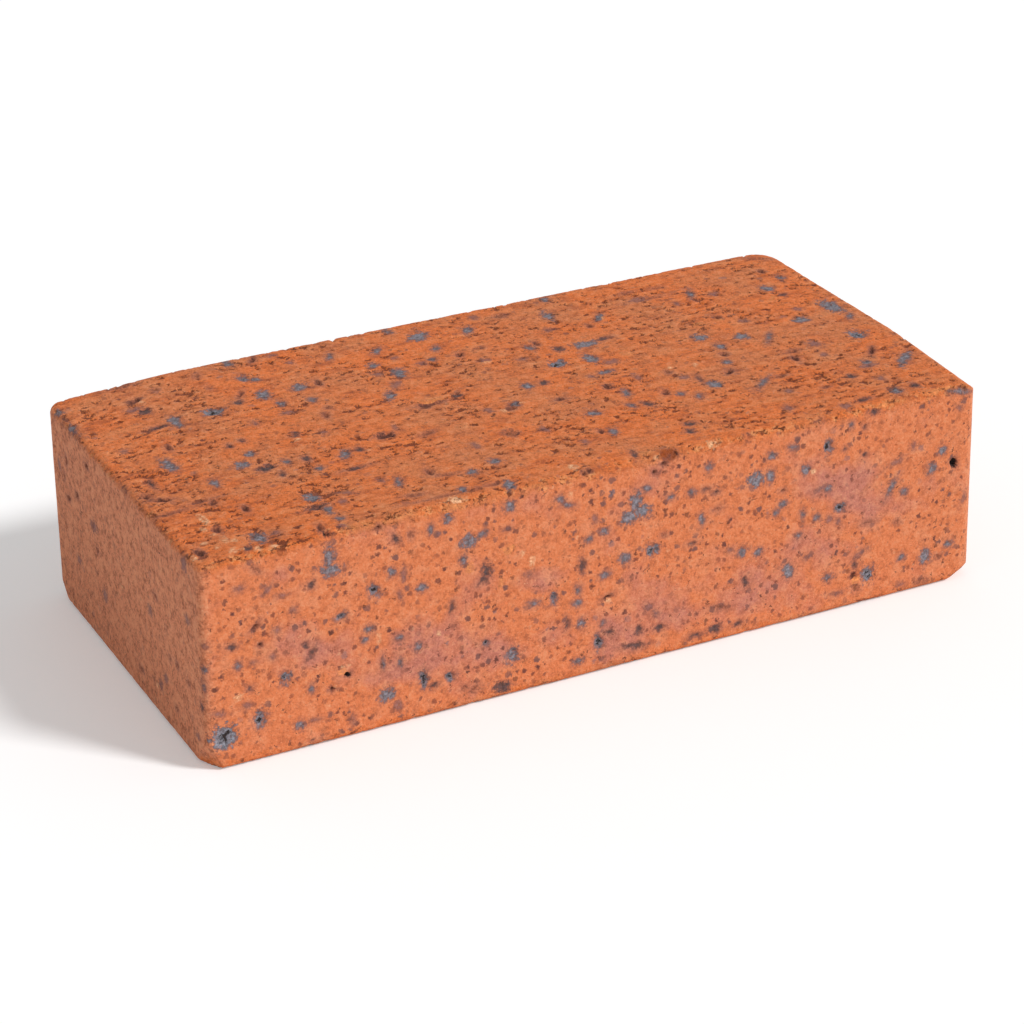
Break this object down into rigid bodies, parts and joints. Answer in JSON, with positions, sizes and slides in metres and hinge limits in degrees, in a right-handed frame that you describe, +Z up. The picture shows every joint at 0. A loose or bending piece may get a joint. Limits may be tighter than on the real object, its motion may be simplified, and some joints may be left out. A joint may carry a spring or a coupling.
{
  "type": "solid brick",
  "caption": "Solid fired clay brick without frog or cores, with rounded die corners, wire-cut bed faces, iron spots, small spalls and knocked corners.",
  "frame": {"origin": "middle of the lower bed face, at floor level", "axes": "+X along the length, +Y across the width from the front stretcher face to the back one, +Z up"},
  "size_m": [0.2308, 0.114, 0.06],
  "materials": {
    "fired_clay": "matt unglazed fired clay, orange-red with grey-blue iron spots and pale grains"
  },
  "bodies": {
    "root": {"brick": "fired_clay"}
  },
  "joints": []
}
